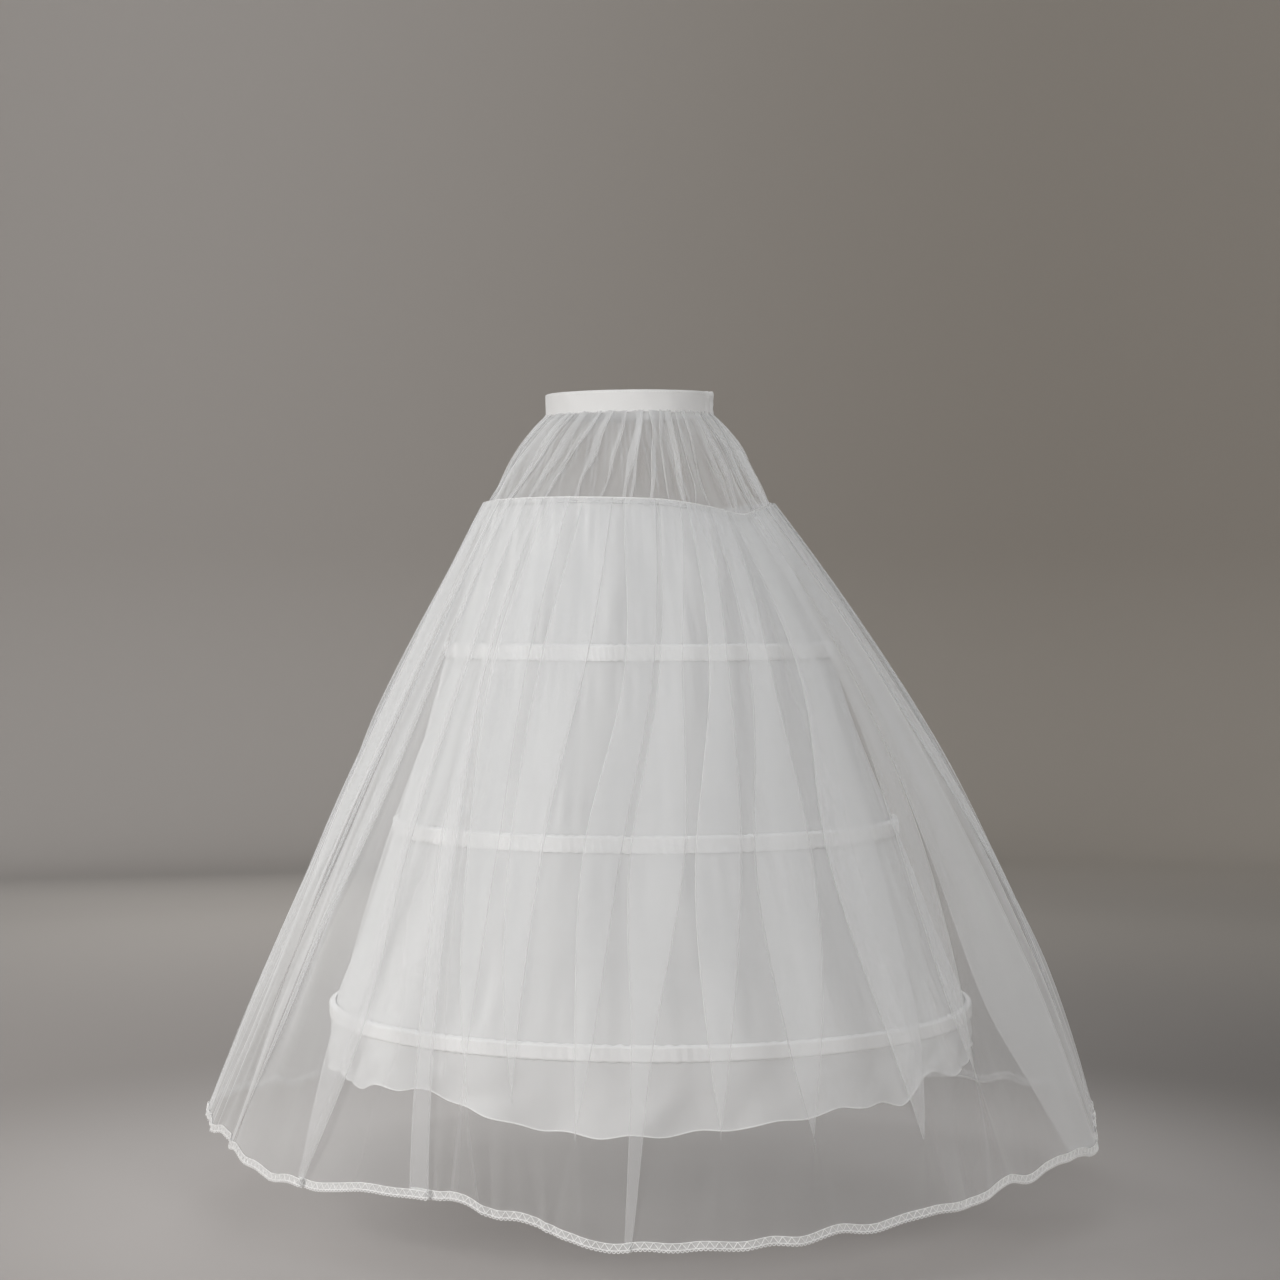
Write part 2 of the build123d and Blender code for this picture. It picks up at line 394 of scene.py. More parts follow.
# How high its crumples, the puckers at its seam and its hem's waves are, in metres
OVERLAY_CRUMPLE, OVERLAY_PUCKER, OVERLAY_HEM_WAVE = 0.0016, 0.0006, 0.0022
OVERLAY_SEAMS = (-73.0, 73.0)
FOLD_DEPTHS = (0.0012, 0.0040, 0.0055, 0.0055, 0.0048)  # metres, at the stations
SHOWN_FOLDS = [
    # left edges, right edges, way, depth
    ((-52, -50, -47.0, -48.0, -49.5), (-45, -44.5, -47.5, -50.5, -52.5), 1, 1.0),
    ((-42, -39, -38.5, -41.0, -44.0), (-35, -33, -36.0, -42.0, -47.5), -1, 1.1),
    ((-31, -29.5, -31.5, -34.5, -37.0), (-25.5, -25, -28.5, -34.8, -40.5), 1, 1.2),
    ((-23, -22, -25.2, -29.3, -32.8), (-18.5, -17.5, -19.8, -26.2, -33.4), 1, 1.4),
    ((-15, -13.8, -15.8, -15.2, -14.8), (-9, -7.2, -6.6, -7.0, -13.6), 1, 1.4),
    ((-5, -3.5, -1.5, 1.4, 3.3), (-1.5, -1.0, 2.6, 4.6, 6.4), 1, 1.1),
    ((1.5, 0.5, 4.8, 8.8, 13.5), (10.5, 9.2, 10.4, 10.4, 9.5), -1, 1.0),
    ((15.8, 12.6, 12.4, 15.4, 21.0), (27, 24.6, 19.0, 17.6, 16.8), 1, 0.9),
    ((31, 32.6, 25.6, 25.2, 26.5), (43.2, 39.2, 31.4, 27.4, 23.5), -1, 0.9),
    ((44.2, 40.4, 32.8, 32.4, 31.5), (52.6, 45.4, 41.2, 35.2, 32.3), 1, 0.9),
    ((54.8, 51.2, 42.8, 42.6, 44.5), (63, 56.0, 50.4, 45.6, 40.0), -1, 1.0),
    ((64.6, 61.5, 52.4, 53.0, 56.0), (72.4, 66.0, 61.8, 57.0, 51.5), 1, 1.0),
    ((73.8, 72.2, 64.4, 66.5, 71.0), (83.8, 80.4, 75.4, 73.0, 66.5), -1, 1.1),
    ((86.2, 85.5, 81.0, 79.8, 83.0), (90.5, 89.0, 85.5, 81.6, 78.5), 1, 0.9),
    ((92, 91.5, 87.8, 88.0, 97.5), (98, 97.5, 98.8, 101.5, 104.5), 1, 1.6),
    ((99.5, 99.5, 104, 108.5, 115), (106, 104.5, 108, 109.5, 111), -1, 1.0),
]
HIDDEN_SPACING = 12.0
HIDDEN_OVERLAPS = np.array([7.0, 5.0, 2.0, -2.5, -5.0])
# How far the hem lies above its lowest level, in metres
OVERLAY_LIFT = [
    (-100, 0.024), (-60, 0.046), (-38, 0.044), (-14, 0.026), (-8, 0.030), (6, 0.036), (21, 0.018),
    (26, 0.004), (37, 0.0), (50, 0.004), (64, 0.012), (80, 0.026), (96, 0.040), (112, 0.040),
    (135, 0.046), (160, 0.030), (190, 0.008), (225, 0.012),
]
# How far the hem stands outside its ellipse, in metres
OVERLAY_BULGE = [
    (-110, 0.0), (-68, 0.022), (-38, -0.006), (-14, -0.012), (8, -0.030), (26, -0.006), (37, 0.004),
    (60, 0.0), (85, -0.006), (104, 0.006), (118, 0.0), (146, 0.026), (175, 0.0), (210, 0.010),
]
# How much straighter than the swell its side hangs, in metres half way down
OVERLAY_FLAT = [
    (-140, 0.020), (-90, 0.036), (-55, 0.044), (-20, 0.032), (35, 0.012), (90, 0.006),
    (125, 0.012), (180, 0.014),
]
# How far the yoke seam dips below its level, in metres
SEAM_DIP = [
    (-90, 0.004), (-35, 0.0), (20, 0.0), (50, 0.004), (68, 0.012), (82, 0.019), (98, 0.010),
    (125, 0.002), (180, 0.006), (240, 0.0),
]


def seam_z(turn):
    return seam.z - round_the_waist(turn, SEAM_DIP)


def overlay_grid():
    """Points, and each column's turn at the hem."""
    random = np.random.default_rng(11)
    start, end = SHOWN_FOLDS[-1][1][0] + 3, SHOWN_FOLDS[0][0][0] + 358
    hidden = random_folds(random, start, end, HIDDEN_SPACING, HIDDEN_OVERLAPS)
    share = np.linspace(0, 1, OVERLAY_ROWS)
    share = 0.75 * share + 0.25 * smoothstep(share)
    turn, lay = folded(SHOWN_FOLDS + hidden, share)
    share = share[:, None]
    turn = turn + 0.2 * Waves(3, (8, 22), 2)(turn, share) * smoothstep(share * 6)
    flare = share + OVERLAY_SWELL * share * (1 - share)
    bulge = round_the_waist(turn, OVERLAY_BULGE) * share**1.5
    bulge = bulge - round_the_waist(turn, OVERLAY_FLAT) * 4 * share * (1 - share)
    depth = through(share, STATIONS, FOLD_DEPTHS)
    crumple = OVERLAY_CRUMPLE * Waves(5, (5, 26), 1.6)(turn, share) * smoothstep(share * 5)
    puckers = OVERLAY_PUCKER * Waves(6, (50, 110), 0.5)(turn, share) * (1 - smoothstep(share * 9))
    out = lay * depth + bulge + crumple + puckers + 3 * LAYER
    width = seam.width + (overlay_hem.width - seam.width) * flare + out
    deep = seam.depth + (overlay_hem.depth - seam.depth) * flare + out
    top = seam_z(turn) + 0.003
    bottom = overlay_hem.z + round_the_waist(turn, OVERLAY_LIFT)
    bottom = bottom + OVERLAY_HEM_WAVE * Waves(8, (20, 50), 0)(turn, 0)
    z = top + (bottom - top) * share
    return place(turn, width, deep, overlay_hem.setback * share, z), turn[-1]


# Materials

WHITE = (0.86, 0.865, 0.87)
THREAD_WHITE = (0.90, 0.90, 0.895)
# How light the darker clouds of a cloth, and the darker spots of a CAD node, are beside its colour
SHADED, SPOTTED = 0.93, 0.86
CLOSE_COVER = 0.5  # cloth closer than this has a sheen and shows its weave as relief
ELASTIC_RIBS, ELASTIC_ROW = 420, 0.0018  # ribs round the waist, and metres from row to row
LEAST_SQUARE = 0.12  # how square on cloth counts at its very edge, so that it stays a little open


class Nodes:
    """A short way to write a node material."""

    def __init__(self, name):
        self.material = bpy.data.materials.new(name)
        self.material.use_nodes = True
        self.tree = self.material.node_tree
        self.tree.nodes.clear()

    def add(self, kind, inputs=None, **settings):
        node = self.tree.nodes.new(kind)
        for key, value in settings.items():
            setattr(node, key, value)
        for key, value in (inputs or {}).items():
            if isinstance(value, bpy.types.NodeSocket):
                self.tree.links.new(value, node.inputs[key])
            else:
                node.inputs[key].default_value = value
        return node

    def maths(self, operation, first, second=0.0, clamp=False):
        inputs = {0: first, 1: second}
        node = self.add("ShaderNodeMath", inputs, operation=operation, use_clamp=clamp)
        return node.outputs[0]

    def mix(self, share, first, second):
        """Blend two colours, each of them a socket or three numbers."""
        node = self.add("ShaderNodeMix", {0: share}, data_type="RGBA")
        for number, colour in ((6, first), (7, second)):
            if isinstance(colour, bpy.types.NodeSocket):
                self.tree.links.new(colour, node.inputs[number])
            else:
                node.inputs[number].default_value = (*colour, 1.0)
        return node.outputs[2]

    def finish(self, shader):
        self.add("ShaderNodeOutputMaterial", {"Surface": shader.outputs[0]})
        return self.material

    def noise(self, vector, scale, detail=2.0):
        node = self.add("ShaderNodeTexNoise", {"Vector": vector, "Scale": scale, "Detail": detail})
        return node.outputs["Fac"]

    def range(self, value, low, high):
        """Bring a value that runs from 0 to 1 to run from low to high."""
        inputs = {"Value": value, "To Min": low, "To Max": high}
        return self.add("ShaderNodeMapRange", inputs).outputs[0]


def weave(nodes, uv, pitch):
    """Threads both ways, from 0 in the holes to 1 on a thread."""
    inputs = {"Vector": uv, "Scale": 1 / (math.pi * pitch)}
    across, down = (
        nodes.add("ShaderNodeTexWave", inputs, bands_direction=way).outputs["Fac"] for way in "XY"
    )
    return nodes.maths("MAXIMUM", across, down)


def cloth_material(name, cover, pitch, colour=WHITE, glow=0.35, uneven=0.1):
    """White cloth that lets through what lies between its threads.

    cover is the share that the threads cover, seen straight on. It rises as the cloth turns away,
    because its threads then close up. glow is how much light from behind the threads pass on.
    """
    nodes = Nodes(name)
    uv = nodes.add("ShaderNodeTexCoord").outputs["UV"]
    at = nodes.add("ShaderNodeTexCoord").outputs["Object"]
    threads = weave(nodes, uv, pitch)
    clouds = nodes.noise(at, 14.0, 1.0)
    tint = nodes.mix(nodes.range(clouds, 0.0, 0.5), colour, [c * SHADED for c in colour])
    raised, sheen = {}, 0.0
    if cover > CLOSE_COVER:
        sheen = 0.3
        inputs = {"Height": threads, "Strength": 0.12, "Distance": 0.0002}
        raised["Normal"] = nodes.add("ShaderNodeBump", inputs).outputs[0]
    inputs = {"Base Color": tint, "Roughness": 0.75, "Sheen Weight": sheen, **raised}
    front = nodes.add("ShaderNodeBsdfPrincipled", inputs)
    front.inputs["Sheen Roughness"].default_value = 0.4
    front.inputs["Specular IOR Level"].default_value = 0.25
    behind = nodes.add("ShaderNodeBsdfTranslucent", {"Color": tint, **raised})
    cloth = nodes.add("ShaderNodeMixShader", {0: glow, 1: front.outputs[0], 2: behind.outputs[0]})
    facing = nodes.add("ShaderNodeLayerWeight", {"Blend": 0.5}).outputs["Facing"]
    square = nodes.maths("MAXIMUM", nodes.maths("SUBTRACT", 1.0, facing), LEAST_SQUARE)
    uneven_cover = nodes.range(clouds, cover * (1 - uneven), cover * (1 + uneven))
    thread_cover = nodes.maths("MULTIPLY", uneven_cover, nodes.range(threads, 0.90, 1.05))
    holes = nodes.maths("SUBTRACT", 1.0, thread_cover, clamp=True)
    seen_holes = nodes.maths("POWER", holes, nodes.maths("DIVIDE", 1.0, square))
    clear = nodes.add("ShaderNodeBsdfTransparent")
    inputs = {0: seen_holes, 1: cloth.outputs[0], 2: clear.outputs[0]}
    return nodes.finish(nodes.add("ShaderNodeMixShader", inputs))


def thread_material():
    nodes = Nodes("white_thread")
    inputs = {"Base Color": (*THREAD_WHITE, 1.0), "Roughness": 0.6}
    return nodes.finish(nodes.add("ShaderNodeBsdfPrincipled", inputs))


def kept_material(name, colour, rough, ribs=0, coat=0.0, see_through=0.0):
    """A finish for a CAD node that stays in view: mottled, and faintly scratched or ribbed."""
    nodes = Nodes(name)
    at = nodes.add("ShaderNodeTexCoord").outputs["Object"]
    tint = nodes.mix(nodes.noise(at, 45.0, 4.0), colour, [c * SPOTTED for c in colour])
    height = nodes.noise(at, 900.0, 2.0)
    if ribs:
        axes = nodes.add("ShaderNodeSeparateXYZ", {0: at}).outputs
        turn = nodes.maths("ARCTAN2", axes["X"], axes["Y"])
        upright = nodes.maths("SINE", nodes.maths("MULTIPLY", turn, ribs))
        row = nodes.maths("MULTIPLY", axes["Z"], 2 * math.pi / ELASTIC_ROW)
        braid = nodes.maths("MAXIMUM", upright, nodes.maths("SINE", row))
        height = nodes.maths("ADD", braid, height)
    inputs = {"Height": height, "Strength": 0.25, "Distance": 0.0003}
    bump = nodes.add("ShaderNodeBump", inputs).outputs[0]
    gloss = nodes.range(nodes.noise(at, 130.0, 3.0), rough * 0.8, rough * 1.3)
    inputs = {"Base Color": tint, "Roughness": gloss, "Normal": bump}
    shader = nodes.add("ShaderNodeBsdfPrincipled", inputs)
    shader.inputs["Coat Weight"].default_value = coat
    shader.inputs["Transmission Weight"].default_value = see_through
    return nodes.finish(shader)


def finish_node(node, material):
    """Give a CAD node that stays in view its own finish."""
    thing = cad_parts[node]
    if not thing.material_slots:
        thing.data.materials.append(material)
    for slot in thing.material_slots:
        slot.material = material


# Room, light and camera


def studio_paint():
    """Wall and floor paint: painted shade darker to the right, painted light under the petticoat.
    """
    nodes = Nodes("studio_paint")
    at = nodes.add("ShaderNodeTexCoord").outputs["Object"]
    across = math.radians(CAMERA_TURN)
    inputs = {0: at, 1: (math.cos(across) / 5, math.sin(across) / 5, 0.0)}
    shade = nodes.add("ShaderNodeVectorMath", inputs, operation="DOT_PRODUCT").outputs["Value"]
    out = nodes.add("ShaderNodeVectorMath", {0: at}, operation="LENGTH").outputs["Value"]

    def blend(value, low, high, first, second):
        inputs = {"Value": value, "From Min": low, "From Max": high}
        share = nodes.add("ShaderNodeMapRange", inputs, interpolation_type="SMOOTHSTEP").outputs[0]
        return nodes.mix(share, first, second)

    # painted shade: the paint darkens from the camera's left to its right, away from the key lamp
    def painted_shade_across(left, right):
        return blend(shade, -0.35, 0.30, left, right)

    wall = painted_shade_across(WALL_LEFT, WALL_RIGHT)
    far = painted_shade_across(FLOOR_FAR_LEFT, FLOOR_FAR_RIGHT)
    near = painted_shade_across(FLOOR_NEAR_LEFT, FLOOR_NEAR_RIGHT)
    # painted light under the petticoat, blending out into the floor's painted shade further away
    floor = blend(out, 0.9, 1.6, FLOOR_UNDER_PAINTED_LIGHT, blend(out, 1.6, 3.4, near, far))
    inputs = {"Base Color": blend(out, 3.4, 5.0, floor, wall), "Roughness": 0.85}
    return nodes.finish(nodes.add("ShaderNodeBsdfPrincipled", inputs))


def studio(floor_z):
    """A floor that curves up into a wall all round."""
    bend = np.linspace(0, math.pi / 2, COVE_STEPS)
    flat = WALL_RADIUS - COVE_RADIUS
    profile = [(0.001, 0.0), (flat * 0.5, 0.0)]
    profile += [(flat + COVE_RADIUS * math.sin(a), COVE_RADIUS * (1 - math.cos(a))) for a in bend]
    profile.append((WALL_RADIUS, WALL_HEIGHT))
    radius, height = np.array(profile).T[:, :, None]
    turns = np.linspace(0, 360, WALL_STEPS, endpoint=False)
    grid = closed_ring(place(turns, radius, radius, 0.0, floor_z + height))
    faces = grid_faces(*grid.shape[:2])[:, ::-1]
    build_mesh("studio", grid, faces, studio_paint())


def area_lamp(name, turn, distance, height, size, power, colour):
    """A square soft lamp at a turn round the object, facing it."""
    data = bpy.data.lights.new(name, "AREA")
    data.shape, data.size, data.energy, data.color = "SQUARE", size, power, colour
    lamp = bpy.data.objects.new(name, data)
    angle = math.radians(CAMERA_TURN + turn)
    lamp.location = (distance * math.sin(angle), -distance * math.cos(angle), height)
    lamp.rotation_mode = "QUATERNION"
    towards = Vector(LAMP_AIM) - Vector(lamp.location)
    lamp.rotation_quaternion = towards.to_track_quat("-Z", "Y")
    bpy.context.scene.collection.objects.link(lamp)


def light_and_camera():
    for lamp in LAMPS:
        area_lamp(*lamp)
    world = bpy.data.worlds.new("world")
    world.use_nodes = True
    sky = world.node_tree.nodes["Background"].inputs
    sky[0].default_value, sky[1].default_value = SKY_COLOUR, SKY_STRENGTH
    scene = bpy.context.scene
    scene.world = world
    scene.view_settings.view_transform = "Standard"
    scene.view_settings.look = "None"
    scene.cycles.transparent_max_bounces = 32
    scene.cycles.max_bounces = 4
    data = bpy.data.cameras.new("camera")
    data.lens, data.sensor_width = LENS_MM, 36.0
    camera = bpy.data.objects.new("camera", data)
    angle = math.radians(CAMERA_TURN)
    back = Vector((math.sin(angle), -math.cos(angle), 0.0)) * CAMERA_DISTANCE
    aim = Vector(CAMERA_AIM)
    camera.location = Vector((aim.x + back.x, aim.y + back.y, CAMERA_HEIGHT))
    camera.rotation_mode = "QUATERNION"
    camera.rotation_quaternion = (aim - camera.location).to_track_quat("-Z", "Y")
    scene.collection.objects.link(camera)
    scene.camera = camera


# Waistband: a flat front and a back gathered on its elastic

BAND_THICKNESS = 0.0036
BAND_TILT = 0.0015  # how much lower it lies on the wearer's left
BAND_COLUMNS = {"front": 160, "back": 640}
BAND_STITCHES = {"front": 0.8, "back": 0.52}  # rows of stitches, as parts of its half height
BAND_SOFT, BAND_GATHER, BAND_EDGE_GATHER = 0.00025, 0.00085, 0.0005  # how high, in metres
# The band's section, as parts of its half thickness and half height, from the inner bottom edge
BAND_SECTION = [
    (-1.0, -0.93), (-0.7, -1.0), (0.7, -1.0), (1.0, -0.93), (1.04, -0.74), (1.0, -0.4), (1.0, 0.0),
    (1.0, 0.4), (1.04, 0.74), (1.0, 0.92), (0.6, 1.0), (-0.6, 1.0), (-1.0, 0.92), (-1.0, 0.0),
]


def band_points(turn, out, z):
    """Points on the band's middle surface moved out, for turns and heights above its middle."""
    middle = (BAND_TOP + BAND_BOTTOM) / 2 - BAND_TILT * np.sin(np.radians(turn)) * 0.5
    centre = -BAND_THICKNESS / 2
    return place(turn, band.width + centre + out, band.depth + centre + out, 0.0, middle + z)


def waistband(name):
    """One half of the band as a closed strip, and its two rows of stitches."""
    start = -90 if name == "front" else 90
    turn = np.linspace(start, start + 180, BAND_COLUMNS[name])
    across, up = np.array(BAND_SECTION + BAND_SECTION[:1]).T
    half_thick, half_high = BAND_THICKNESS / 2, (BAND_TOP - BAND_BOTTOM) / 2
    out = across[:, None] * half_thick + 0 * turn
    z = up[:, None] * half_high + 0 * turn
    soft = BAND_SOFT * Waves(51, (6, 20), 0.5)(turn, up[:, None])
    if name == "back":
        ends = smoothstep((turn - start) / 8) * smoothstep((start + 180 - turn) / 8)
        gathers = Waves(52, (110, 170), 0.35)(turn, up[:, None]) * ends
        held = 1 - 0.75 * np.exp(-(((abs(up) - BAND_STITCHES["back"]) / 0.14) ** 2))
        soft = soft + BAND_GATHER * gathers * held[:, None]
        z = z + BAND_EDGE_GATHER * gathers * up[:, None] * (abs(up[:, None]) > 0.9)
    points = band_points(turn, out + soft, z)
    rows = []
    for height in (-BAND_STITCHES[name], BAND_STITCHES[name]):
        lift = np.interp(height, up[2:11], soft.mean(1)[2:11]) if name == "front" else 0.0
        rows.append(stitch_row(band_points(turn, half_thick * 1.03 + lift, height * half_high)))
    return points, joined(rows)


# Yoke: sparse slanting folds at the front, and close gathers at the sides and back

YOKE_ROWS = 34
YOKE_FOLD_DEPTHS = (0.0010, 0.0026, 0.0034, 0.0026, 0.0014)
# How far a fold leans from the band to the seam, in degrees
YOKE_LEAN = [
    (-150, 1.0), (-60, -9.0), (-20, -11.0), (15, -9.0), (38, -3.0), (60, 0.0), (82, 3.0),
    (105, 2.0), (180, -1.0),
]
YOKE_GATHER, YOKE_RUMPLE = 0.0004, 0.0014  # how high they are, in metres
YOKE_BELLY = 0.5  # how much fuller it is under the band than a straight cone
YOKE_TUCK = 0.004  # how far its edges go under the band and past the seam


def yoke_grid():
    """Points, and each column's turn at the seam."""
    random = np.random.default_rng(23)
    share = np.linspace(0, 1, YOKE_ROWS)
    loose = random_folds(random, -66, 34, 8.0, np.array([3.2, 3.0, 2.4, 2.0, 1.2]), (0.8, 1.5))
    bold = random_folds(random, 34, 110, 6.5, np.array([3.2, 2.8, 1.8, 1.2, 0.6]), (0.9, 1.6))
    close = random_folds(random, 110, 294, 4.5, np.array([2.2, 1.6, 0.6, 0.3, 0.2]), (0.6, 1.4))
    turn, lay = folded(loose + bold + close, share, 5, 0.3)
    share = share[:, None]
    turn = turn + round_the_waist(turn, YOKE_LEAN) * share
    gathers = (1 - smoothstep(share * 4)) * Waves(24, (120, 190), 0.3)(turn, share)
    rumple = YOKE_RUMPLE * Waves(25, (9, 34), 1.4)(turn, share) * (4 * share * (1 - share)) ** 0.5
    out = lay * through(share, STATIONS, YOKE_FOLD_DEPTHS) + YOKE_GATHER * gathers + rumple
    fullness = share + YOKE_BELLY * share * (1 - share) ** 2
    inner = band.width - 0.0022, band.depth - 0.0022
    width = inner[0] + (seam.width + LAYER - inner[0]) * fullness + out
    depth = inner[1] + (seam.depth + LAYER - inner[1]) * fullness + out
    top = BAND_BOTTOM + YOKE_TUCK
    z = top + (seam_z(turn) - YOKE_TUCK - top) * share
    return place(turn, width, depth, 0.0, z), turn[-1]


def seam_ring(out, drop):
    """A level ring round the yoke seam, with its dips."""
    turn = np.linspace(0, 360, 720, endpoint=False)
    return place(turn, seam.width + out, seam.depth + out, 0.0, seam_z(turn) - drop)


def seam_tape():
    """The tape that the gathered edges are sewn to, and its two rows of stitches."""
    heights = np.linspace(-YOKE_TUCK, YOKE_TUCK, 7)
    bow = 0.0003 * np.cos(np.linspace(-1, 1, 7) * math.pi / 2)
    points = np.stack([seam_ring(out, drop) for out, drop in zip(bow, heights)])
    rows = [stitch_row(seam_ring(0.0036, drop)) for drop in (-0.0024, 0.0024)]
    return points, joined(rows)


# Lining: three tiers between the seam and the hoops, and a flounce below them

LINING_COLUMNS = 720
FLOUNCE_COLUMNS, FLOUNCE_ROWS = 900, 34
# How high the flounce's folds, ripples, creases and hem waves are, in metres
FLOUNCE_FOLD, FLOUNCE_RIPPLE, FLOUNCE_CREASE, FLOUNCE_HEM_WAVE = 0.0050, 0.0017, 0.0012, 0.0012
TIER_ROWS = 24
TIER_SAG = 0.0035
TIER_PUCKER, TIER_DRAPE, TIER_CREASE = 0.0009, 0.0022, 0.0009  # how high they are, in metres
PUCKER_REACH = 0.09  # how far from a seam its puckers are deepest, as a share of the tier
LINING_CLEAR = 0.0031  # from a hoop's outer face in to the lining
# How far the flounce's hem lies above its lowest level, in metres
FLOUNCE_LIFT = [
    (-60, 0.024), (-30, 0.020), (-4, 0.030), (6, 0.015), (16, 0.003), (24, 0.0), (46, 0.004),
    (57, 0.012), (75, 0.019), (83, 0.014), (88, 0.037), (100, 0.030), (112, 0.041), (150, 0.030),
    (185, 0.018), (220, 0.028), (262, 0.016), (280, 0.030),
]
TIERS = [seam.moved(seam.z, -2 * LAYER)]
TIERS += [hoops[name].moved(hoops[name].z, -LINING_CLEAR) for name in HOOPS]


def lining_ring(z):
    """Width, depth and setback of the lining at a height, with each tier's slight sag inwards."""
    heights = [tier.z for tier in TIERS][::-1]
    drawn_in = 0.0
    for above, below in zip(TIERS, TIERS[1:]):
        share = np.clip((above.z - z) / (above.z - below.z), 0, 1)
        drawn_in = drawn_in + TIER_SAG * 4 * share * (1 - share)
    width, depth, setback = (
        np.interp(z, heights, [getattr(tier, size) for tier in TIERS][::-1])
        for size in ("width", "depth", "setback")
    )
    return width - drawn_in, depth - drawn_in, setback


def lining_grid():
    turn = np.linspace(0, 360, LINING_COLUMNS, endpoint=False)
    share = np.linspace(0, 1, TIER_ROWS)[:, None]
    rows = []
    for number, (above, below) in enumerate(zip(TIERS, TIERS[1:])):
        width, depth, setback = lining_ring(above.z + (below.z - above.z) * share)
        away = [np.maximum(edge - 0.05, 0) / PUCKER_REACH for edge in (share, 1 - share)]
        near = sum(x * np.exp(1 - x) for x in away)
        puckers = TIER_PUCKER * Waves(31 + number, (46, 110), 0.4)(turn, share) * near
        free = 4 * share * (1 - share)
        drape = TIER_DRAPE * Waves(34 + number, (7, 30), 0.5)(turn, share) * free
        creases = TIER_CREASE * Waves(37 + number, (10, 44), 2.2)(turn, share) * free
        out = puckers + drape + creases
        top = seam_z(turn) + 0.003 if number == 0 else above.z
        z = top + (below.z - top) * share
        rows.append(place(turn, width + out, depth + out, setback, z))
    return np.concatenate([tier[:-1] for tier in rows[:-1]] + rows[-1:]), turn


def flounce_grid():
    """A ring that hangs from under the bottom casing, with an uneven hem."""
    turn = np.linspace(0, 360, FLOUNCE_COLUMNS, endpoint=False)
    share = np.linspace(0, 1, FLOUNCE_ROWS)[:, None]
    start = TIERS[-1].moved(hoops["bottom"].z + casing_height / 2 - 0.002, LAYER / 2)
    hem_z = flounce_hem.z + round_the_waist(turn, FLOUNCE_LIFT)
    hem_z = hem_z + FLOUNCE_HEM_WAVE * Waves(45, (18, 40), 0)(turn, 0)
    free = smoothstep((share - 0.16) / 0.84)
    folds = FLOUNCE_FOLD * Waves(41, (6, 15), 0.7)(turn, share)
    folds = folds + FLOUNCE_RIPPLE * Waves(42, (16, 42), 1.3)(turn, share)
    creases = FLOUNCE_CREASE * Waves(43, (30, 80), 2.4)(turn, share)
    out = (folds + creases * (1 - 0.6 * share)) * free**0.8 - 0.003 * free
    width = start.width + (flounce_hem.width - start.width) * share + out
    depth = start.depth + (flounce_hem.depth - start.depth) * share + out
    setback = start.setback + (flounce_hem.setback - start.setback) * share
    return place(turn, width, depth, setback, start.z + (hem_z - start.z) * share), turn


CASING_COLUMNS, CASING_ROWS = 960, 17
CASING_OPENING = 0.008  # metres from the centre back to either end
CASING_RIPPLE, CASING_EDGE_WAVE = 0.00022, 0.0004  # how high they are, in metres
CHANNEL_HALF, CHANNEL_SHOULDER = 0.0078, 0.0018  # the flat part over the hoop, and its slope
STITCH_LINE = 0.0086  # from the hoop's middle to either row of stitches


def casing(name):
    """A strip stitched along both edges over a hoop, open where the hoop goes in."""
    hoop = hoops[name]
    opening = math.degrees(CASING_OPENING / hoop.depth)
    turn = np.linspace(180 + opening, 540 - opening, CASING_COLUMNS)
    above = np.linspace(casing_height / 2, -casing_height / 2, CASING_ROWS)[:, None]
    width, depth, setback = lining_ring(hoop.z + above)
    puff = 1 - smoothstep((abs(above) - CHANNEL_HALF) / CHANNEL_SHOULDER)
    ripple = CASING_RIPPLE * Waves(61, (170, 230), 0.6)(turn, above * 40)
    at_edge = (abs(above) / (casing_height / 2)) ** 8
    edge = CASING_EDGE_WAVE * Waves(62, (120, 200), 0)(turn, 0) * at_edge
    on_lining = LAYER + 0.0003

    def over(size, hoop_size):
        return size + on_lining + puff * (hoop_size + 0.0017 - size - on_lining) + ripple

    width, depth = over(width, hoop.width), over(depth, hoop.depth)
    points = place(turn, width, depth, setback, hoop.z + above + edge)
    rows = []
    for height in (STITCH_LINE, -STITCH_LINE):
        width, depth, setback = lining_ring(hoop.z + height)
        near = on_lining + 0.0004
        path = place(turn, width + near, depth + near, setback, hoop.z + height)
        rows.append(stitch_row(path, 0.0030, 0.0014, 0.00034))
    return points, joined(rows)


# Lace along the overlay's hem

LACE_ABOVE = 0.0070  # from the net's edge up to its header
LACE_PERIOD = 0.0050
LACE_STEP = 0.0005  # from one point along its threads to the next


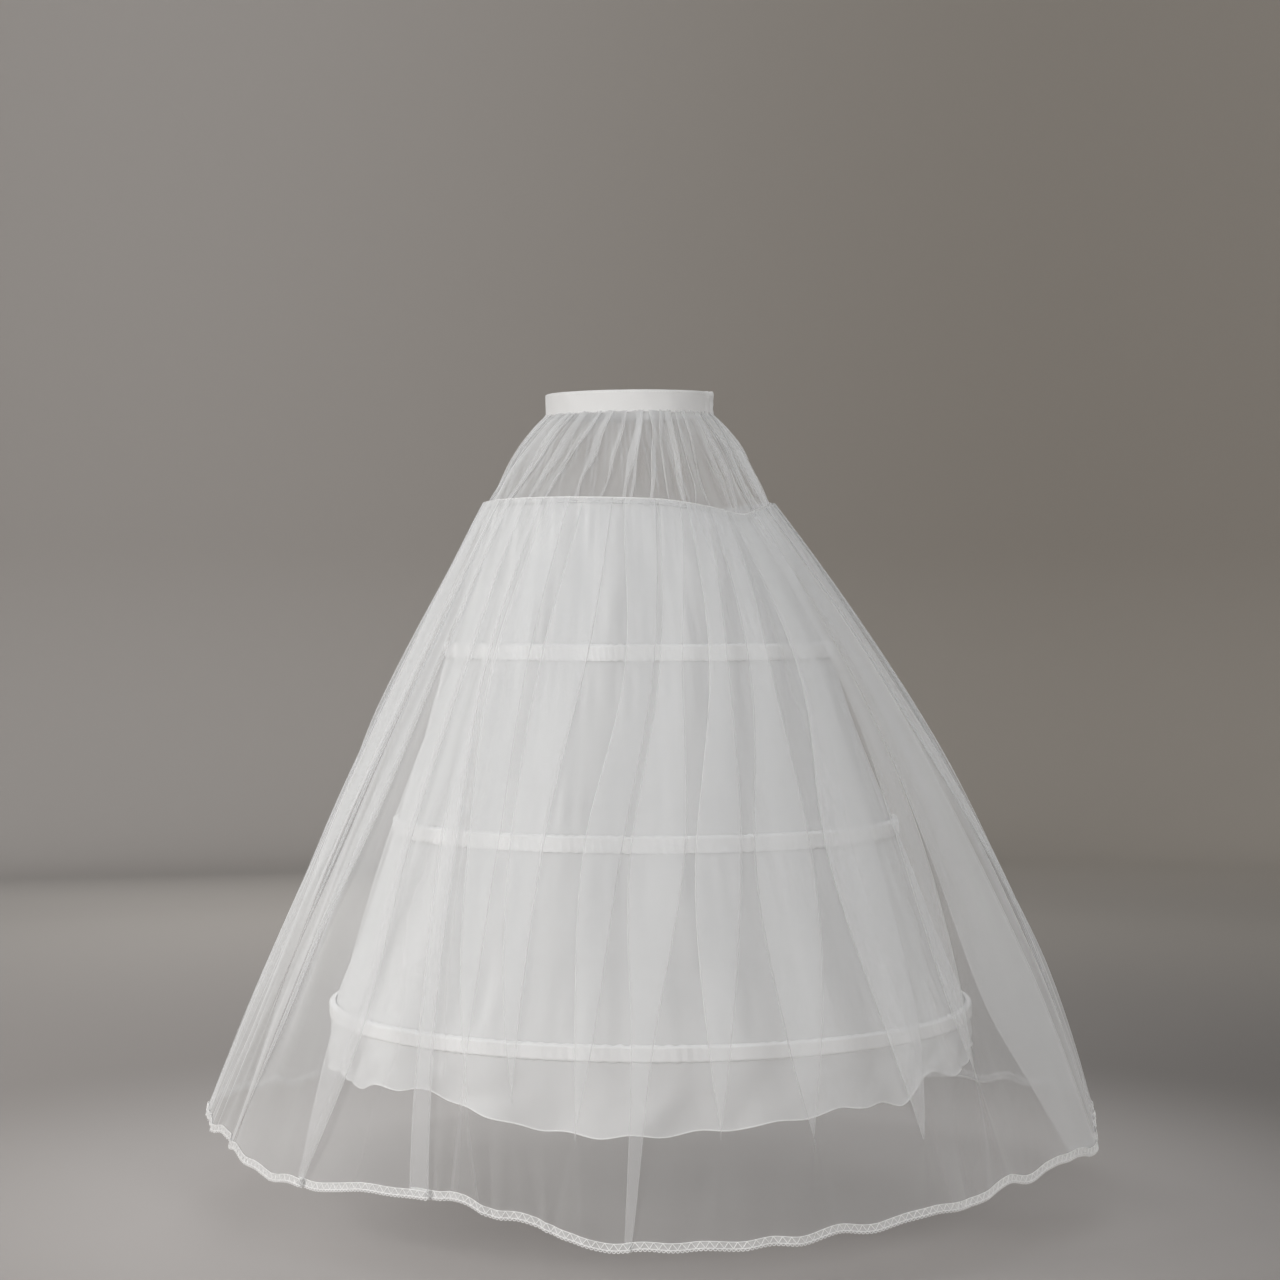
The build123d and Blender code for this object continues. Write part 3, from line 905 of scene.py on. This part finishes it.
def lace(points):
    """Its openwork band as a grid, and its threads, along the bottom edge of an overlay panel."""
    hem, at = evenly(points[-1], LACE_STEP)
    higher = evenly(points[-2], LACE_STEP)[0]
    higher = higher[np.linspace(0, len(higher) - 1, len(hem)).round().astype(int)]
    down = unit((hem - higher) * [0.5, 0.5, 1.0])
    out = unit(np.cross(np.gradient(hem, axis=0), -down))
    base = hem + 0.0006 * out

    def thread(drop, radius, step, lift=0.0):
        path = base + np.broadcast_to(drop, at.shape)[:, None] * down + lift * out
        return tube(path[::step], radius, 4)

    phase = at / LACE_PERIOD * math.pi
    zigzag = np.arcsin(np.sin(phase)) / (math.pi / 2)
    net_drop = np.linspace(-LACE_ABOVE, lace_height - LACE_ABOVE - 0.0035, 6)
    band_grid = base[None, ::6] + net_drop[:, None, None] * down[None, ::6]
    threads = [
        thread(-LACE_ABOVE, 0.00045, 6, 0.0002),
        thread(-LACE_ABOVE / 2 * (1 + zigzag), 0.00045, 2, 0.0003),
        thread(0.0002, 0.00055, 6, 0.0002),
        thread(0.0002 + 0.0028 * abs(np.sin(phase)) ** 0.8, 0.00050, 2, 0.0001),
    ]
    return band_grid, joined(threads)


# Building it all


def dress(piece, slot, *nodes):
    """Hide the CAD nodes that a piece stands for, and hang the piece from the root body."""
    if nodes:
        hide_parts(*nodes)
    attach(piece, "root")
    return piece


def panel(name, points, material, slot, node, threads=None):
    """A panel of cloth that replaces its CAD node, and a separate piece of threads sewn to it."""
    cloth = dress(sheet_object(name, points, material), slot, node)
    if threads is None:
        return cloth
    threads_name, threads = threads
    return cloth, dress(build_mesh(threads_name, *threads, thread), slot)


light_and_camera()
studio(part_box("lace_front")[0][2] - FLOOR_BELOW_HEM)

net = cloth_material("overlay_net", cover=0.20, pitch=0.0011)
yoke_net = cloth_material("yoke_net", cover=0.23, pitch=0.0009, uneven=0.12)
lining_cloth = cloth_material(
    "lining_fabric", cover=0.84, pitch=0.0006, colour=(0.84, 0.845, 0.85), glow=0.14, uneven=0.03
)
casing_cloth = cloth_material(
    "casing_fabric", cover=0.995, pitch=0.0006, colour=(0.955, 0.957, 0.96), glow=0.06, uneven=0.004
)
# painted shade: the white band and seam tape get a greyer colour than the other cloth, for the
# dimmer light at the top
band_cloth_painted_shade = cloth_material(
    "waistband_fabric", cover=1.0, pitch=0.0005, colour=(0.75, 0.75, 0.75), glow=0.05, uneven=0.0
)
lace_net = cloth_material(
    "lace_net", cover=0.55, pitch=0.0016, colour=(0.92, 0.92, 0.92), uneven=0.2
)
thread = thread_material()

for half, width in (("front", 0.30), ("back", 0.44)):
    name = f"waistband_{half}"
    strip, stitches = waistband(half)
    stitches = f"{name}_stitches", stitches
    piece, rows = panel(f"{name}_cloth", strip, band_cloth_painted_shade, "waistband_fabric", name, stitches)

points, turns = yoke_grid()
for half, part, width in zip(HALVES, panels(points, turns, SIDES), (0.74, 0.77)):
    piece = panel(f"yoke_{half}_net", part, yoke_net, "yoke_net", f"yoke_{half}")

points, stitches = seam_tape()
stitches = "yoke_seam_stitches", stitches
points = closed_ring(points)
tape, rows = panel("yoke_seam_tape_cloth", points, band_cloth_painted_shade, "tape", "yoke_seam_tape", stitches)

points, turns = lining_grid()
for half, part in zip(HALVES, panels(points, turns, SIDES)):
    name = f"lining_{half}"
    piece = panel(f"{name}_cloth", part, lining_cloth, "lining_fabric", name)

for hoop in HOOPS:
    name = f"casing_{hoop}"
    strip, stitches = casing(hoop)
    stitches = f"{name}_stitches", stitches
    piece, rows = panel(f"{name}_cloth", strip, casing_cloth, "casing_fabric", name, stitches)

points, turns = flounce_grid()
for half, part, drop in zip(HALVES, panels(points, turns, SIDES), (0.082, 0.073)):
    name = f"flounce_{half}"
    hem = f"{name}_edge", tube(part[-1], 0.0009, 5)
    piece, edge = panel(f"{name}_cloth", part, lining_cloth, "lining_fabric", name, hem)

points, turns = overlay_grid()
cuts = ((2.28, 0.87), 1.53), ((2.40, 0.88), 1.83)
for half, part, (flat, area) in zip(HALVES, panels(points, turns, OVERLAY_SEAMS), cuts):
    name = f"lace_{half}"
    piece = panel(f"overlay_{half}_net", part, net, "overlay_net", f"overlay_{half}")
    band_grid, threads = lace(part)
    threads = f"{name}_threads", threads
    edging = list(panel(f"{name}_band", band_grid, lace_net, "lace", name, threads))

elastic = kept_material("braided_elastic", (0.84, 0.84, 0.82), 0.6, ribs=ELASTIC_RIBS)
coating = kept_material("hoop_coating", (0.87, 0.88, 0.88), 0.28, coat=0.4)
sleeve = kept_material("joiner_sleeve", (0.78, 0.80, 0.80), 0.35, see_through=0.35)
finish_node("waist_elastic", elastic)
for hoop in HOOPS:
    finish_node(f"hoop_{hoop}", coating)
    finish_node(f"hoop_joiner_{hoop}", sleeve)
